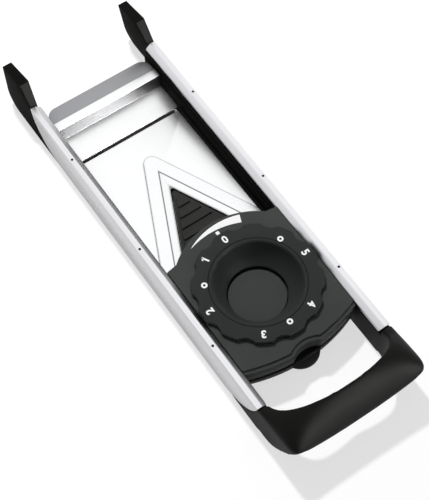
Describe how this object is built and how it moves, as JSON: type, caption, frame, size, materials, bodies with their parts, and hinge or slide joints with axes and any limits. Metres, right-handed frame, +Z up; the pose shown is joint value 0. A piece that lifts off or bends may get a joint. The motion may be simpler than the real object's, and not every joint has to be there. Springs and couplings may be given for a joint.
{
  "type": "mandoline slicer",
  "caption": "Hand-held vegetable slicer lying underside up: two metal rails, a V blade, an adjusting dial that shifts the ramp, far feet and a bow handle.",
  "frame": {"origin": "on the table plane under the rails, midway between them and midway along them", "axes": "+X across the rails, +Y along the rails towards the far feet, +Z up from the table to the dial"},
  "size_m": [0.118, 0.3995, 0.0572],
  "materials": {
    "rail_aluminium": "satin anodised, drawn lengthwise",
    "lip_aluminium": "matt anodised",
    "black_plastic": "fine satin grain",
    "foot_rubber": "soft matt",
    "dial_plastic": "fine matt grain",
    "ramp_plastic": "satin",
    "plate_steel": "fine brushed",
    "blade_steel": "ground",
    "pin_steel": "blackened",
    "screw_steel": "plain",
    "bush_plastic": "acetal"
  },
  "bodies": {
    "frame": {"right_rail": "rail_aluminium", "left_rail": "rail_aluminium", "right_rail_pins": "pin_steel", "left_rail_pins": "pin_steel", "right_beam": "black_plastic", "left_beam": "black_plastic", "right_foot_pad": "foot_rubber", "left_foot_pad": "foot_rubber", "handle_bow": "black_plastic", "handle_screws": "screw_steel", "blade_plate": "plate_steel", "v_blade": "blade_steel", "end_plate": "plate_steel", "end_lip": "lip_aluminium", "end_screws": "screw_steel", "dial_bridge": "dial_plastic", "bridge_screws": "screw_steel", "dial_washer": "bush_plastic", "detent_leaf": "screw_steel", "detent_rivets": "screw_steel", "guide_bushes": "bush_plastic"},
    "dial": {"thickness_dial": "dial_plastic", "retaining_ring": "screw_steel"},
    "ramp": {"ramp": "ramp_plastic", "cam_follower": "screw_steel", "guide_pins": "screw_steel"}
  },
  "joints": [
    {"name": "dial_turn", "type": "hinge", "parent": "frame", "child": "dial", "pos_m": [0, -0.0735, 0.03], "axis": [0, 0, -1], "range_deg": [0, 300], "deforming": ["detent_leaf"]},
    {"name": "ramp_shift", "type": "slide", "parent": "frame", "child": "ramp", "axis": [0, 0, 1], "range_m": [0, 0.005]}
  ],
  "couplings": [
    {"joint": "ramp_shift", "follows": "dial_turn", "m_per_rad": 0.00095493}
  ]
}
